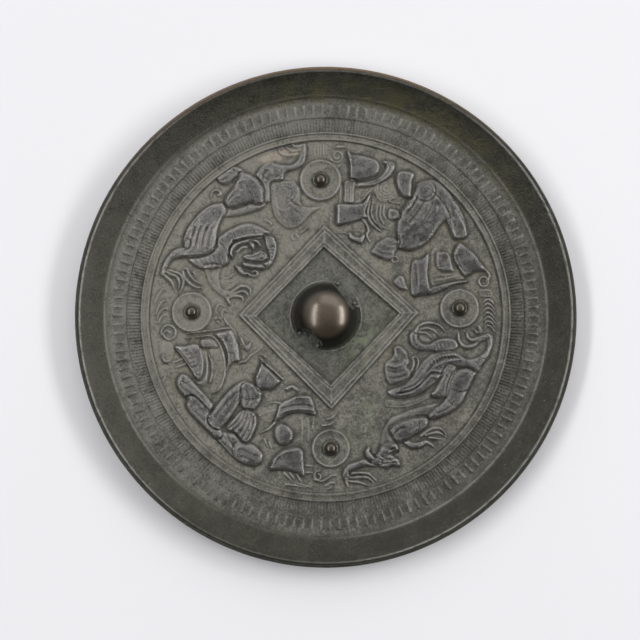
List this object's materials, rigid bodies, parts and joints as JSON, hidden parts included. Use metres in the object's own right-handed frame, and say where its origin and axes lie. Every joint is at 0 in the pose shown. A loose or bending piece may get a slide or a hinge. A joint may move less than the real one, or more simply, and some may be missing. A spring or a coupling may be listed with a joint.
{
  "type": "ancient bronze mirror",
  "caption": "Round cast bronze mirror lying polished face down, its back cast with a holed knob, a square frame, nipples, animals and seated figures inside toothed bands and a slanted rim.",
  "frame": {"origin": "middle of the polished face, at the flat spot that the mirror rests on", "axes": "+Z out of the decorated back, along the knob; +X along the cord hole through the knob"},
  "size_m": [0.1999, 0.2, 0.015],
  "materials": {
    "bronze": "old dark patinated bronze, smooth and half glossy on the rim and knob, dull greenish grey with ochre soil in the field"
  },
  "bodies": {
    "root": {"mirror": "bronze"}
  },
  "joints": []
}
